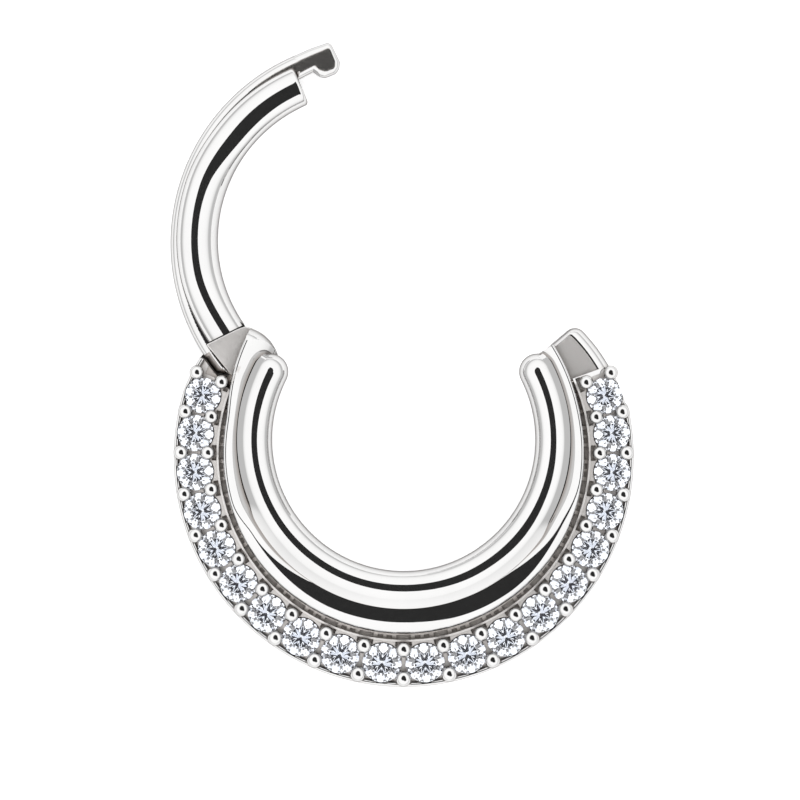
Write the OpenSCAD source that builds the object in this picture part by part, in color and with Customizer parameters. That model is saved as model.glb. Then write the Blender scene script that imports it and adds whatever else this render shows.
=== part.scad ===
// Hinged piercing hoop: a cast crescent with two rails and a row of set stones, closed by a round bar that swings
// on a pin. It lies on its back: +Z is the front, +Y runs from the crescent to the open bar, and the origin is the
// centre of the hoop's hole at the height of the back.

/* [Hoop] */
// Inner diameter of the base tube and of the closed hoop
inner_d = 8.0; // [7.9:0.05:8.1]
// Diameter of the round base tube
tube_d = 1.17; // [1.1:0.01:1.2]
// Height of the tube's centre line over the back
tube_z = 0.60; // [0.6:0.01:0.64]

/* [Rails] */
// Diameter of the hole inside the inner rail
rail_hole_d = 7.16; // [7.1:0.02:7.2]
// Diameter of the inner rail's round section
rail_d = 0.99; // [0.94:0.01:1.02]
// Height of the inner rail's centre line
rail_z = 1.45; // [1.43:0.01:1.48]
// Outer radius of the wide outer rail, about its own centre
band_r = 4.877; // [4.84:0.01:4.9]
// Distance of the outer rail's centre below the hoop's centre
band_drop = 0.38; // [0.36:0.01:0.4]
// Height of the outer rail's crest
band_top = 1.68; // [1.64:0.01:1.7]

/* [Stone row] */
// Number of stones
stone_n = 20; // [20:1:20]
// Diameter of the stones in the middle of the row
stone_mid_d = 1.075; // [1.07:0.001:1.08]
// Diameter of the two end stones
stone_end_d = 0.975; // [0.97:0.001:0.98]
// Gap between the stones in the middle of the row
stone_mid_gap = 0.1; // [0.095:0.001:0.105]
// Gap between the last two stones at each end
stone_end_gap = 0.064; // [0.06:0.001:0.066]
// Radius of the circle through the stones' centres
row_r = 5.697; // [5.69:0.001:5.7]
// Distance of that circle's centre below the hoop's centre
row_drop = 0.413; // [0.41:0.001:0.416]
// Height of the stones' girdles
row_z = 1.40; // [1.38:0.01:1.42]
// Outward tilt of the stones' faces
row_tilt = 10; // [8:1:12]

/* [Hinge and bar] */
// Opening angle of the bar from closed to the open stop
open_angle = 76; // [74:1:76]
// Diameter of the hinge pin
pin_d = 0.44; // [0.4:0.02:0.46]
// Thickness of the bar's plate, which ends in the lug and the hook
plate_t = 0.52; // [0.46:0.02:0.54]
// Clearance on each side of that plate in its slots
slot_gap = 0.04; // [0.03:0.01:0.05]

/* [Hidden] */
$fn = 96;

function stone_name(i) = str("stone_", i < 10 ? "0" : "", i);
function polar(r, a) = [r * cos(a), r * sin(a)];

metal = [0.84, 0.84, 0.85];
clear_stone = [0.88, 0.93, 1.0];

// Base tube and slab
tube_r = tube_d / 2;
tube_ring_r = inner_d / 2 + tube_r;
slab_top = 0.60;
slab_inner_r = inner_d / 2 + 0.28;
right_end_a = 32.4;
left_tube_a = 152;
far = 12;

// Outline of the crescent
outer_r = 6.267;
outer_drop = 0.477;
end_trim_r = 4.902;
end_trim_c = [1.343, -0.436];
left_trim_r = 4.98;
trim_from_a = 9;
trim_to_a = 60;

// Inner rail, whose ends are domes
rail_r = rail_d / 2;
rail_ring_r = rail_hole_d / 2 + rail_r;
rail_cap_r = rail_r - 0.015;
rail_cap_root = 0.05;
rail_end_a = 26.9;

// Outer rail: a wide dome that rolls off into an upright outer side
band_roll_r = 0.327;
band_dome_r = 1.2;
band_dome_w = 0.95;
band_left_c = [0.243, 0.597];
band_left_r = 5.04;
band_right_r = 4.83;
band_left_a = 174;
band_right_a = 364.9;
band_in_clear_r = 3.90;
band_steps = 6;

// Plate under the stones
plate_in_r = 5.04;
plate_root_r = 4.60;
plate_under_girdle = 0.10;
ridge_w = 0.055;
ridge_under_girdle = 0.03;
deck_z = 1.12;
outer_ridge_w = 0.09;
outer_ridge_top = 1.28;
left_slab_a = 152.5;
left_plate_a = 158;

// Stones: proportions of the diameter in a round brilliant cut
table_ratio = 0.56;
crown_ratio = 0.15;
girdle_ratio = 0.03;
pavilion_ratio = 0.42;
star_ratio = 0.75;
lower_ratio = 0.26;
seat_gap = 0.02;
seat_step = 0.066;
open_back_ratio = 0.5;
row_axis_a = 269.95;
grading = 1.25;

// Prongs: proportions of the neighbouring stone's diameter
prong_off_ratio = 0.37;
bead_ratio = 0.20;
pillar_ratio = 0.10;
bead_over_girdle = 0.12;

// Hinge: pivot, knuckle and the flat where the open bar stops
pivot = [-4.052, 1.872];
knuckle_c = [-4.529, 1.951];
knuckle_r = 1.144;
stop_a = 116.5;
bar_cut_dist = 1.264;
stop_dist = bar_cut_dist - 0.03;
cheek_top = 1.22;
cheek_base_top = 1.05;
cheek_edge_a = 128.9;
cheek_edge_p = [-5.262, 2.436];
lug_r = 0.45;
lug_bore_r = pin_d / 2 + 0.03;
body_bore_r = pin_d / 2 + 0.01;
pin_top = 1.08;
slot_reach = 3;
slot_open_a = 188;
slot_closed_a = 51 - open_angle;

// Plate of the bar and its slots
plate_z0 = tube_z + 0.02 - plate_t / 2;
plate_z1 = plate_z0 + plate_t;
slot_z0 = plate_z0 - slot_gap;
slot_z1 = plate_z1 + slot_gap;

// Bar in its open pose: the round bar's circle and the circle of the plate's outer edge
bar_c = [-1.055, 5.439];
bar_r = 0.58;
bar_ring_r = 4.60;
bar_free_a = 112.5;
bar_hinge_a = 220;
bar_edge_c = [-0.787, 5.349];
bar_edge_r = 5.583;
bar_edge_w = 0.45;
bar_edge_chamfer = 0.12;

// Latch block
panel_top = 1.20;
block_rim_top = 1.36;
block_rim_w = 0.24;
block_from_a = 17.8;
block_root_r = 4.55;
corner_r = 0.45;
corner_trim_a = 3;
latch_in_r = 8.10;
latch_out_r = 9.22;
latch_floor_a = -2.4;
latch_to_a = 30;

// A wedge about the hoop's centre, from angle a0 to a1
module wedge(a0, a1, r = far) {
    polygon(concat([[0, 0]], [for (i = [0:8]) polar(r, a0 + (a1 - a0) * i / 8)]));
}

// Everything on the near side of a line, which lies at distance d from p in direction a
module side(p, d, a) {
    translate(p) rotate(a) translate([d - 2 * far, -far]) square([2 * far, 2 * far]);
}

// Plan of the crescent's outer edge, drawn in by inset; its two ends draw in towards the hoop
module outer_plan(inset = 0) {
    difference() {
        translate([0, -outer_drop]) circle(outer_r - inset);
        difference() {
            wedge(trim_from_a, trim_to_a);
            translate(end_trim_c) circle(end_trim_r - inset);
        }
        difference() {
            wedge(180 - trim_to_a, 180 - trim_from_a);
            translate([-end_trim_c[0], end_trim_c[1]]) circle(left_trim_r - inset);
        }
    }
}

// Plan of the knuckle at the hinge end, with the flat stop for the open bar
module knuckle_plan() {
    intersection() {
        translate(knuckle_c) circle(knuckle_r);
        side(pivot, stop_dist, stop_a);
        side(cheek_edge_p, 0, 180 + cheek_edge_a - 90);
        union() {
            translate(pivot) circle(stop_dist);
            translate(pivot) rotate(stop_a) square([far, far]);
            translate(pivot) rotate(stop_a + 90) square([far, far]);
            translate(pivot) rotate(stop_a + 180) square([far, far]);
        }
    }
}

// Region that the bar's plate needs at the hinge, from the open to the closed pose
module hinge_sweep_plan(gap) {
    translate(pivot) circle(lug_r + gap);
    intersection() {
        translate(bar_edge_c) circle(bar_edge_r + gap);
        translate(pivot)
            polygon(concat([[0, 0]], [for (i = [0:5])
                polar(slot_reach, slot_closed_a + (slot_open_a - slot_closed_a) * i / 5)]));
    }
}

module base_tube() {
    rotate(left_tube_a)
        rotate_extrude(angle = 360 + right_end_a - left_tube_a)
            translate([tube_ring_r, tube_z]) circle(tube_r);
}

// Slab between the tube and the outer edge, which carries the rails and the stones
module slab() {
    linear_extrude(slab_top) difference() {
        intersection() {
            outer_plan();
            wedge(left_slab_a, 360 + right_end_a);
        }
        circle(slab_inner_r);
    }
}

function arc_points(c, r, a0, a1, n) = [for (i = [0:n]) c + polar(r, a0 + (a1 - a0) * i / n)];

// Section of the outer rail: an inner dome and a tighter roll-off
function band_section(r) =
    let (crest_r = r - band_roll_r, inner_a = acos(-band_dome_w / band_dome_r))
    concat(
        [[crest_r - band_dome_w, slab_top - 0.1]],
        arc_points([crest_r, band_top - band_dome_r], band_dome_r, inner_a, 90, band_steps),
        arc_points([crest_r, band_top - band_roll_r], band_roll_r, 75, 0, band_steps),
        [[r, slab_top - 0.1]]);

// The stretch of the outer rail from angle a0 to a1 about the hoop's centre; its own centre is c and its radius r
module band_arc(c, r, a0, a1) {
    intersection() {
        translate(c) rotate_extrude() polygon(band_section(r));
        linear_extrude(2 * far, center = true) wedge(a0, a1);
    }
}

// Outer rail, which widens at both ends and is rounded off by the knuckle's outline at the hinge end
module outer_rail() {
    intersection() {
        union() {
            band_arc(band_left_c, band_left_r, 120, band_left_a);
            band_arc([0, -band_drop], band_r, band_left_a, band_right_a);
            band_arc([0, 0], band_right_r, band_right_a, 400);
        }
        linear_extrude(2 * far, center = true) difference() {
            union() {
                wedge(atan2(knuckle_c[1], knuckle_c[0]), 360 + right_end_a);
                knuckle_plan();
            }
            circle(band_in_clear_r);
        }
    }
}

// Domed end of the inner rail at angle a: s = 1 for the end that the arc starts from, -1 for the other
module rail_dome(a, s) {
    rotate(a) translate([rail_ring_r, 0]) rotate([s * 90, 0, 0]) rotate_extrude() intersection() {
        circle(rail_cap_r);
        translate([0, -rail_cap_root]) square(1);
    }
}

// Inner rail: a round section with domed ends
module inner_rail() {
    sweep = 180 + 2 * rail_end_a;
    translate([0, 0, rail_z]) {
        rotate(180 - rail_end_a) rotate_extrude(angle = sweep) translate([rail_ring_r, 0]) circle(rail_r);
        rail_dome(180 - rail_end_a, 1);
        rail_dome(rail_end_a, -1);
    }
}

function row_height(r) = row_z - (r - row_r) * tan(row_tilt);

// Deck beside the outer rail, and the stones' plate with a conical top and a low ridge along its inner edge
module stone_plate() {
    out_r = outer_r + 0.4;
    ridge_r = plate_in_r + ridge_w;
    translate([0, -row_drop]) rotate_extrude() polygon([
        [plate_root_r, slab_top - 0.1],
        [out_r, slab_top - 0.1],
        [out_r, row_height(out_r) - plate_under_girdle],
        [ridge_r, row_height(ridge_r) - plate_under_girdle],
        [ridge_r, row_height(ridge_r) - ridge_under_girdle],
        [plate_in_r, row_height(plate_in_r) - ridge_under_girdle],
        [plate_in_r, deck_z],
        [plate_root_r, deck_z]]);
}

// Room for the bar's plate outside its circle
module bar_edge_room() {
    translate([0, 0, slot_z0]) linear_extrude(far) translate(bar_edge_c) circle(bar_edge_r + slot_gap);
}

module stone_row_plate() {
    row_wedge_a = [left_plate_a, 360 + block_from_a + 2];
    difference() {
        union() {
            intersection() {
                stone_plate();
                linear_extrude(2 * far, center = true) intersection() {
                    outer_plan();
                    wedge(row_wedge_a[0], row_wedge_a[1]);
                }
            }
            linear_extrude(outer_ridge_top) difference() {
                intersection() {
                    outer_plan();
                    wedge(row_wedge_a[0], row_wedge_a[1]);
                }
                outer_plan(outer_ridge_w);
            }
        }
        bar_edge_room();
    }
}

// Stones' diameters and places along the row
function graded(mid, end, t) = mid - (mid - end) * pow(abs(t), grading);
function stone_d(i) = graded(stone_mid_d, stone_end_d, (2 * i - stone_n + 1) / (stone_n - 1));
function gap_after(i) = graded(stone_mid_gap, stone_end_gap, (2 * i - stone_n + 2) / (stone_n - 2));
function pitch_a(i) = ((stone_d(i) + stone_d(i + 1)) / 2 + gap_after(i)) / row_r * 180 / PI;
function stone_a(i) =
    i == stone_n / 2 ? row_axis_a + pitch_a(i - 1) / 2
    : i > stone_n / 2 ? stone_a(i - 1) + pitch_a(i - 1)
    : 2 * row_axis_a - stone_a(stone_n - 1 - i);
function prong_a(j) =
    j == 0 ? stone_a(0) - pitch_a(0) / 2
    : j == stone_n ? stone_a(stone_n - 1) + pitch_a(stone_n - 2) / 2
    : (stone_a(j - 1) + stone_a(j)) / 2;
function prong_d(j) = (stone_d(min(j, stone_n - 1)) + stone_d(max(j - 1, 0))) / 2;

// Frame of a point of the row: Z is the stone's axis, X points outward
module on_row(a, off = 0) {
    translate([0, -row_drop]) rotate(a) translate([row_r, 0, row_z]) rotate([0, row_tilt, 0])
        translate([off, 0, 0]) children();
}

module prongs() {
    for (j = [0:stone_n], s = [-1, 1]) {
        d = prong_d(j);
        on_row(prong_a(j), s * prong_off_ratio * d) {
            translate([0, 0, -0.5]) cylinder(r = pillar_ratio * d, h = 0.5 + bead_over_girdle);
            translate([0, 0, bead_over_girdle]) sphere(bead_ratio * d);
        }
    }
}

// Space that a stone takes, grown by the seat gap, with the open back under it
module stone_room(d) {
    g = seat_gap;
    rotate_extrude() polygon([
        [0, -pavilion_ratio * d - 2 * g - seat_step],
        [d / 2 + g, -seat_step],
        [d / 2 + g, girdle_ratio * d / 2],
        [table_ratio * d / 2 + g, crown_ratio * d + g],
        [0, crown_ratio * d + g]]);
    translate([0, 0, -far]) cylinder(d = open_back_ratio * d, h = far);
}

// Front and back cheeks of the knuckle, over and under the slot; the front one shows as a flat facet
module knuckle() {
    linear_extrude(cheek_base_top) knuckle_plan();
    linear_extrude(cheek_top) difference() {
        knuckle_plan();
        translate(band_left_c) circle(band_left_r - 0.3);
    }
}

// Where the rounded corner of the free end has its centre: corner_r from the end face and from the outer edge
function corner_centre() =
    let (u = polar(1, right_end_a), n = polar(1, right_end_a + 90), base = -corner_r * n - end_trim_c)
    base + end_trim_c + u * (-u * base + sqrt(pow(u * base, 2) - base * base + pow(end_trim_r - corner_r, 2)));

// Plan of the free end with its outer corner rounded
module block_plan() {
    c = corner_centre();
    out_a = atan2(c[1] - end_trim_c[1], c[0] - end_trim_c[0]);
    difference() {
        intersection() {
            outer_plan();
            wedge(block_from_a, right_end_a);
        }
        difference() {
            translate(c) polygon([
                [0, 0], polar(2, out_a + corner_trim_a), polar(2, right_end_a + 90 - corner_trim_a)]);
            translate(c) circle(corner_r);
        }
    }
}

// Block at the free end: a flat panel with a rim on its outer side
module latch_block() {
    linear_extrude(panel_top) difference() {
        block_plan();
        circle(block_root_r);
    }
    linear_extrude(block_rim_top) difference() {
        block_plan();
        translate(end_trim_c) circle(end_trim_r - block_rim_w);
    }
}

module latch_slot() {
    translate([0, 0, slot_z0]) linear_extrude(slot_z1 - slot_z0) translate(pivot) difference() {
        intersection() {
            circle(latch_out_r);
            polygon(concat([[0, 0]], [for (i = [0:4])
                polar(2 * far, latch_floor_a + (latch_to_a - latch_floor_a) * i / 4)]));
        }
        circle(latch_in_r);
    }
}

module hinge_slot() {
    translate([0, 0, slot_z0]) linear_extrude(slot_z1 - slot_z0) hinge_sweep_plan(slot_gap);
}

module ring_body() {
    color(metal) difference() {
        union() {
            base_tube();
            slab();
            outer_rail();
            inner_rail();
            stone_row_plate();
            knuckle();
            latch_block();
            prongs();
        }
        for (i = [0:stone_n - 1]) on_row(stone_a(i)) stone_room(stone_d(i));
        hinge_slot();
        latch_slot();
        translate([pivot[0], pivot[1], -1]) cylinder(r = body_bore_r, h = 1 + pin_top + 0.02);
    }
}

// Plan of the hook, whose nub points to the hoop's centre
module hook_plan() {
    intersection() {
        translate(bar_edge_c) circle(bar_edge_r + 0.04);
        polygon([
            [-3.10, 9.75], [-2.847, 9.842], [-2.482, 10.035], [-2.30, 9.905], [-2.155, 9.866],
            [-1.86, 9.985], [-1.76, 10.12], [-1.741, 10.302], [-1.93, 10.70], [-2.03, 10.80],
            [-2.10, 11.0], [-3.20, 10.9]]);
    }
}

// Plan of the lug: a round eye on the pivot, widened up to the bar's cut end, with a heel on the outer side
module lug_plan() {
    translate(pivot) circle(lug_r);
    intersection() {
        translate(bar_edge_c) circle(bar_edge_r);
        polygon([
            pivot + polar(lug_r, 37), pivot, pivot + polar(0.9, 186), [-5.7, 2.2],
            [-6.1, 3.3], [-5.2, 3.7], [-4.45, 3.20], [-4.359, 3.133]]);
    }
}

module plate_edge() {
    c = bar_edge_chamfer;
    h = plate_t / 2;
    translate([bar_edge_c[0], bar_edge_c[1], plate_z0 + h]) rotate(100.5)
        rotate_extrude(angle = 110) polygon([
            [bar_edge_r - bar_edge_w, -h], [bar_edge_r - c, -h], [bar_edge_r, -h + c],
            [bar_edge_r, h - c], [bar_edge_r - c, h], [bar_edge_r - bar_edge_w, h]]);
}

module hinge_bar() {
    color(metal) difference() {
        union() {
            difference() {
                translate([bar_c[0], bar_c[1], tube_z]) rotate(bar_free_a)
                    rotate_extrude(angle = bar_hinge_a - bar_free_a)
                        translate([bar_ring_r, 0]) circle(bar_r);
                translate([0, 0, -1]) linear_extrude(4) side(pivot, bar_cut_dist, stop_a);
            }
            plate_edge();
            translate([0, 0, plate_z0]) linear_extrude(plate_t) {
                hook_plan();
                lug_plan();
            }
        }
        translate([pivot[0], pivot[1], -1]) cylinder(r = lug_bore_r, h = 4);
    }
}

module hinge_pin() {
    color(metal) translate([pivot[0], pivot[1], 0]) cylinder(d = pin_d, h = pin_top);
}

// Round brilliant of diameter d with its girdle at height 0: an eight-sided table, eight stars, eight kites and
// sixteen halves above the girdle, and eight kites with sixteen halves below it
module brilliant(d) {
    girdle_r = d / 2;
    girdle_half = girdle_ratio * d / 2;
    table_r = table_ratio * d / 2;
    crown_z = crown_ratio * d;
    pavilion_z = -pavilion_ratio * d;
    star_r = star_ratio * girdle_r;
    star_z = crown_z - (crown_z - girdle_half) * (star_r * cos(22.5) - table_r) / (girdle_r - table_r);
    lower_r = lower_ratio * girdle_r;
    lower_z = pavilion_z + (-girdle_half - pavilion_z) * lower_r * cos(22.5) / girdle_r;
    table = [for (k = [0:7]) [table_r * cos(45 * k), table_r * sin(45 * k), crown_z]];
    star = [for (k = [0:7]) [star_r * cos(45 * k + 22.5), star_r * sin(45 * k + 22.5), star_z]];
    upper = [for (k = [0:15]) [girdle_r * cos(22.5 * k), girdle_r * sin(22.5 * k), girdle_half]];
    under = [for (k = [0:15]) [girdle_r * cos(22.5 * k), girdle_r * sin(22.5 * k), -girdle_half]];
    lower = [for (k = [0:7]) [lower_r * cos(45 * k + 22.5), lower_r * sin(45 * k + 22.5), lower_z]];
    t0 = 0;
    s0 = 8;
    u0 = 16;
    g0 = 32;
    l0 = 48;
    culet = 56;
    faces = concat(
        [[for (k = [7:-1:0]) t0 + k]],
        [for (k = [0:7]) [t0 + k, t0 + (k + 1) % 8, s0 + k]],
        [for (k = [0:7]) [t0 + k, s0 + k, u0 + 2 * k, s0 + (k + 7) % 8]],
        [for (k = [0:7]) [s0 + k, u0 + 2 * k + 1, u0 + 2 * k]],
        [for (k = [0:7]) [s0 + k, u0 + (2 * k + 2) % 16, u0 + 2 * k + 1]],
        [for (k = [0:15]) [u0 + k, u0 + (k + 1) % 16, g0 + (k + 1) % 16, g0 + k]],
        [for (k = [0:7]) [l0 + k, g0 + 2 * k, g0 + 2 * k + 1]],
        [for (k = [0:7]) [l0 + k, g0 + 2 * k + 1, g0 + (2 * k + 2) % 16]],
        [for (k = [0:7]) [culet, l0 + (k + 7) % 8, g0 + 2 * k, l0 + k]]);
    polyhedron(concat(table, star, upper, under, lower, [[0, 0, pavilion_z]]), faces);
}

module stone(i) {
    color(clear_stone) on_row(stone_a(i - 1)) rotate(22.5) brilliant(stone_d(i - 1));
}

ring_body();
hinge_bar();
hinge_pin();
for (i = [1:stone_n]) stone(i);
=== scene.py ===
"""Looks of the hinged piercing hoop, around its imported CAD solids.

Sizes are in millimetres in the CAD frame: +Z is the hoop's front, and the origin is the centre of its
hole at the back. Shapes are made in millimetres and turned to metres when a piece is finished.
Names that end in _A are angles in degrees, anticlockwise from +X, and names that end in _R are radii.
"""
import math

import bmesh
import bpy
from mathutils import Matrix, Vector


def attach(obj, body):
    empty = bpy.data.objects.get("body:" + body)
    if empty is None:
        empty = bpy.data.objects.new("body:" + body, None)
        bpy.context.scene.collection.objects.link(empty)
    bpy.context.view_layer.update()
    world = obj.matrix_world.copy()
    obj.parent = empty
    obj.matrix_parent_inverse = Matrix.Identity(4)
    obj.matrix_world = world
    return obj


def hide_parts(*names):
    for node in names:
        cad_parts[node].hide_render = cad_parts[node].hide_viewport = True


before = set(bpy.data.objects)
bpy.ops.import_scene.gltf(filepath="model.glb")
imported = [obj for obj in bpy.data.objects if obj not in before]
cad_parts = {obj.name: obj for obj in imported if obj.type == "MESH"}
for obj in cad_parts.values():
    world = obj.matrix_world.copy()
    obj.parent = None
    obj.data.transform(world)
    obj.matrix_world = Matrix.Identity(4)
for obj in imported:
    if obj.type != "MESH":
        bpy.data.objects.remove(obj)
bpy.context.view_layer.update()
MM = 0.001

# Base tube and slab
TUBE_R, TUBE_Z = 0.585, 0.60
TUBE_RING_R = 4.585
SLAB_TOP, SLAB_INNER_R, SLAB_ROUND = 0.60, 4.28, 0.05
FOOT_Z = SLAB_TOP - 0.1
LEFT_TUBE_A, RIGHT_END_A = 152.0, 32.4

# Outline of the crescent
OUTER_R, OUTER_DROP = 6.267, 0.477
END_TRIM_C, END_TRIM_R, LEFT_TRIM_R = Vector((1.343, -0.436)), 4.902, 4.98
TRIM_FROM_A, TRIM_TO_A = 9.0, 60.0
LEFT_SLAB_A, LEFT_PLATE_A = 152.5, 158.0

# Inner rail
RAIL_R, RAIL_RING_R, RAIL_Z, RAIL_END_A = 0.495, 4.075, 1.45, 26.9
DOME_STEPS, POINT_R = 12, 0.004

# Outer rail: its outline, and pairs of values for the bottom of the hoop and for its sides
BAND_R, BAND_DROP, BAND_TOP = 4.915, 0.38, (1.72, 1.68)
BAND_LEFT_C, BAND_LEFT_R, BAND_RIGHT_R = Vector((0.243, 0.597)), 5.04, 4.83
BAND_LEFT_A, BAND_RIGHT_A, BAND_SOFT = 200, 330, 0.03
BAND_CLEAR_R, BAND_LOOPS_A, BAND_BITE = 3.90, (115, 415), 0.3
BAND_CREST_AT, BAND_CREST_EDGE = 4.855, 0.07
BAND_CREST_R, BAND_ROLL_R, BAND_IN_R = (1.15, 0.07), (0.14, 0.08), (1.15, 1.20)

# Where the rail's section changes, on the left and on the right
BAND_FLAT_A, BAND_TIP_A, BAND_LEAN_A = (248, 302), (212, 332), (200, 348)

# Slopes in degrees at which the section's curve goes on to its next radius, and what they span across
BAND_STEP, ROLL_TO, SLOPE_TO, CREST_TO, CREST_MORE, FLANK_TO = 3, 60, 80, 100, 8, 165
ROLL_SPAN, CREST_SPAN, SLOPE_SPAN, SLOPE_MIN_R, ROLL_LIMIT = 0.5, 0.1736, 0.3264, 0.005, 1.6

# Solder between the rails
RAMP_A, RAMP_TURN_A = (148.3, 391.7), ((209, 324), (201, 332))
RAMP_FROM, RAMP_WIDTH, RAMP_END_Z, RAMP_ROOT = (57.0, 51.0), (0.26, 0.144), (1.70, 1.718), (4.05, 1.3)
RAMP_SINK, RAMP_MIN_H = 0.001, 0.1

# Plate and stones
PLATE_IN_R, PLATE_ROOT_R, PLATE_UNDER = 5.04, 4.60, 0.10
RIDGE_W, RIDGE_UNDER, DECK_Z, DECK_RISE = 0.055, 0.03, 1.26, 0.12
OUTER_RIDGE_W, OUTER_RIDGE_TOP, OUTER_RIDGE_ROUND = 0.13, 1.37, 0.06
PLAN_R, PLATE_STEP, PLATE_BEYOND = 4.0, 0.75, 0.4
STONE_N, STONE_MID_D, STONE_END_D, GRADING = 20, 1.075, 0.975, 1.25
STONE_MID_GAP, STONE_END_GAP = 0.1, 0.064
ROW_R, ROW_DROP, ROW_Z, ROW_AXIS_A = 5.697, 0.413, 1.40, 269.95
PLATE_TILT, STONE_TILT = 10.0, 2.0
TABLE, CROWN, GIRDLE, PAVILION, OPEN_BACK = 0.56, 0.15, 0.03, 0.42, 0.5
SEAT_GAP, SEAT_STEP, ROOM_OVER = 0.02, 0.066, 0.15
PRONG_OFF, BEAD_R, PILLAR_R, BEAD_OVER, PILLAR_FOOT = 0.37, 0.20, 0.14, 0.12, -0.5
BEAD_POWER, BEAD_RISE, BEAD_STEPS = 2.5, 0.92, 18
BEAD_UNDER_A = (20, 38, 52)

# Small cuts beside the row; END_POCKET is an angle, two radii and half a width
POCKET_L, POCKET_W, POCKET_DEPTH, POCKET_NARROW = 0.13, 0.42, 0.05, 0.03
SMALL_CUT_AT, SMALL_CUT_L, SMALL_CUT_HALF = (0.38, 0.62), (0.11, 0.03), 0.075
END_POCKET = (156.6, 5.42, 5.84, 0.12)

# Hinge, knuckle and latch block
PIVOT = Vector((-4.052, 1.872))
KNUCKLE_C, KNUCKLE_R = Vector((-4.529, 1.951)), 1.144
STOP_A, BAR_CUT = 116.5, 1.264
STOP = BAR_CUT - 0.03
KNUCKLE_STEPS = 240
CHEEK_TOP, CHEEK_EDGE_A, CHEEK_EDGE_P = 1.22, 128.9, Vector((-5.262, 2.436))
CHEEK_BASE_TOP, CHEEK_ROUND = 1.05, 0.03
KNUCKLE_ROLL, KNUCKLE_ROLL_Z, KNUCKLE_ROLL_STEPS, KNUCKLE_TO_A = (0.42, 0.58), 1.10, 9, 150.0
KNUCKLE_FLANK, KNUCKLE_FLANK_A, KNUCKLE_FLANK_W = 0.9, 160, 8
LUG_R, PIN_R, PIN_TOP, PIN_GAP, LUG_GAP = 0.45, 0.22, 1.08, 0.01, 0.03
LUG_FROM_A = 197
LUG_NECK, LUG_SIDE = (0.9, 186, 0.2), (37, (-4.359, 3.133), (-4.45, 3.20), (-5.0, 3.6))
HINGE_FAN_R, HINGE_FAN_A, HINGE_FAN_TURN = 3, -25, 213
BLOCK_END_P, BLOCK_END_A, BLOCK_ROOT = Vector((3.80, 2.395)), 40.0, 0.30
BLOCK_CORNER, BLOCK_FROM_A, BLOCK_OVERLAP_A, BLOCK_STEPS = 0.30, 17.8, 2, 16
PANEL_TOP, PANEL_DROPS, PANEL_ROLL, PANEL_CORNER, PANEL_STEPS = 1.26, (0.33, 0.11, 0.14), 0.40, 0.05, 14
LATCH_IN_R, LATCH_OUT_R, LATCH_FLOOR_A, LATCH_TO_A = 8.10, 9.22, -2.4, 30.0

# Bar, its plate and their slots
PLATE_T, SLOT_GAP = 0.52, 0.04
PLATE_Z0 = TUBE_Z + 0.02 - PLATE_T / 2
PLATE_Z1 = PLATE_Z0 + PLATE_T
BAR_C, BAR_RING_R, BAR_R = Vector((-1.055, 5.439)), 4.60, 0.58
BAR_FREE_A, BAR_HINGE_A, BAR_ROUND = 112.5, 220.0, 0.10
BAR_EDGE_C, BAR_EDGE_R, BAR_EDGE_W, BAR_EDGE_ROUND = Vector((-0.787, 5.349)), 5.583, 0.45, 0.24
BAR_EDGE_FROM_A, BAR_EDGE_TO_A, HOOK_ROUND, HOOK_FROM_Y = 104.5, 219.3, 0.16, 9.6

# The bar's crest moved sideways, and how square its section is, along the bar
BAR_LEAN = [(140, -0.10), (162, 0.12), (190, 0.12), (212, -0.05)]
BAR_POWER = [(138, 2.3), (165, 2.0)]

# Steps of round shapes, and how far cutting shapes reach
RING_STEPS, BAR_STEPS, EDGE_STEPS, ROUND_STEPS = 240, 130, 140, 40
FAR, LOW, HIGH = 12.0, -1, 4


# Points and meshes

def polar(r, a):
    return Vector((r * math.cos(math.radians(a)), r * math.sin(math.radians(a))))


def arc(c, r, a0, a1, n):
    return [Vector(c) + polar(r, a0 + (a1 - a0) * i / n) for i in range(n + 1)]


def new_object(name, bm):
    bmesh.ops.recalc_face_normals(bm, faces=bm.faces)
    mesh = bpy.data.meshes.new(name)
    bm.to_mesh(mesh)
    bm.free()
    obj = bpy.data.objects.new(name, mesh)
    bpy.context.scene.collection.objects.link(obj)
    return obj


def add_loft(bm, sections):
    """Closed skin through loops of equal length, with flat ends."""
    loops = [[bm.verts.new(p) for p in s] for s in sections]
    n = len(loops[0])
    for a, b in zip(loops, loops[1:]):
        for i in range(n):
            bm.faces.new((a[i], a[(i + 1) % n], b[(i + 1) % n], b[i]))
    bm.faces.new(list(reversed(loops[0])))
    bm.faces.new(loops[-1])


def loft(name, sections):
    bm = bmesh.new()
    add_loft(bm, sections)
    return new_object(name, bm)


def sweep(name, section, centre, a0, a1, steps):
    """A section of (radius, z) points turned about a vertical axis through centre."""
    loops = []
    for i in range(steps + 1):
        a = math.radians(a0 + (a1 - a0) * i / steps)
        loops.append([(centre[0] + r * math.cos(a), centre[1] + r * math.sin(a), z) for r, z in section])
    return loft(name, loops)


def turned(name, section, centre=(0, 0), steps=RING_STEPS):
    """A section of (radius, z) points turned all the way round."""
    bm = bmesh.new()
    loops = []
    for i in range(steps):
        a = 2 * math.pi * i / steps
        loops.append([bm.verts.new((centre[0] + r * math.cos(a), centre[1] + r * math.sin(a), z))
                      for r, z in section])
    n = len(section)
    for k in range(steps):
        a, b = loops[k], loops[(k + 1) % steps]
        for i in range(n):
            bm.faces.new((a[i], a[(i + 1) % n], b[(i + 1) % n], b[i]))
    return new_object(name, bm)


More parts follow.
